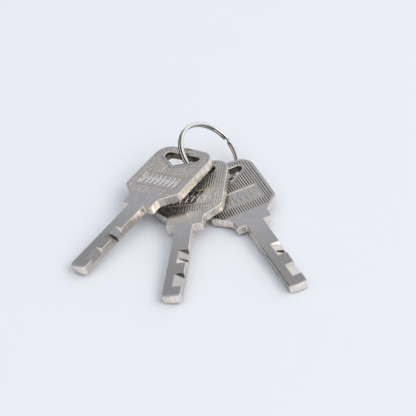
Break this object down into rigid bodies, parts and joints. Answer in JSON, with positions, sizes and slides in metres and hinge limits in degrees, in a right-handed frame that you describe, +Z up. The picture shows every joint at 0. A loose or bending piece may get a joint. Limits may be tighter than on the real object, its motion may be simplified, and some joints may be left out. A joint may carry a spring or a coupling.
{
  "type": "flat keys on a split ring",
  "caption": "Flat keys with ribbed square bows and side-cut blades, fanned out on a split ring, cut to work a pedal lock.",
  "frame": {"origin": "middle of the pile's footprint, on the ground that it lies on", "axes": "+Z up from the ground; +Y towards the split ring, so the blades point to -Y; +X to the right, the way the ring leans"},
  "size_m": [0.0724, 0.0756, 0.0149],
  "materials": {
    "key_metal": "satin nickel plate on steel",
    "ring_steel": "bright nickel plate on spring steel"
  },
  "bodies": {
    "middle_key": {"middle_key": "key_metal"},
    "split_ring": {"split_ring": "ring_steel"},
    "left_key": {"left_key": "key_metal"},
    "right_key": {"right_key": "key_metal"}
  },
  "joints": [
    {"name": "ring_turn", "type": "hinge", "parent": "middle_key", "child": "split_ring", "pos_m": [0.00631, 0.0265, 0.00753], "axis": [0.5407, -0.2317, 0.8087], "continuous": true},
    {"name": "left_key_swing", "type": "hinge", "parent": "middle_key", "child": "left_key", "pos_m": [0.00631, 0.0265, 0.00753], "axis": [0.5407, -0.2317, 0.8087], "range_deg": [-100, 0]},
    {"name": "right_key_swing", "type": "hinge", "parent": "middle_key", "child": "right_key", "pos_m": [0.00631, 0.0265, 0.00753], "axis": [0.5407, -0.2317, 0.8087], "range_deg": [0, 100]}
  ]
}
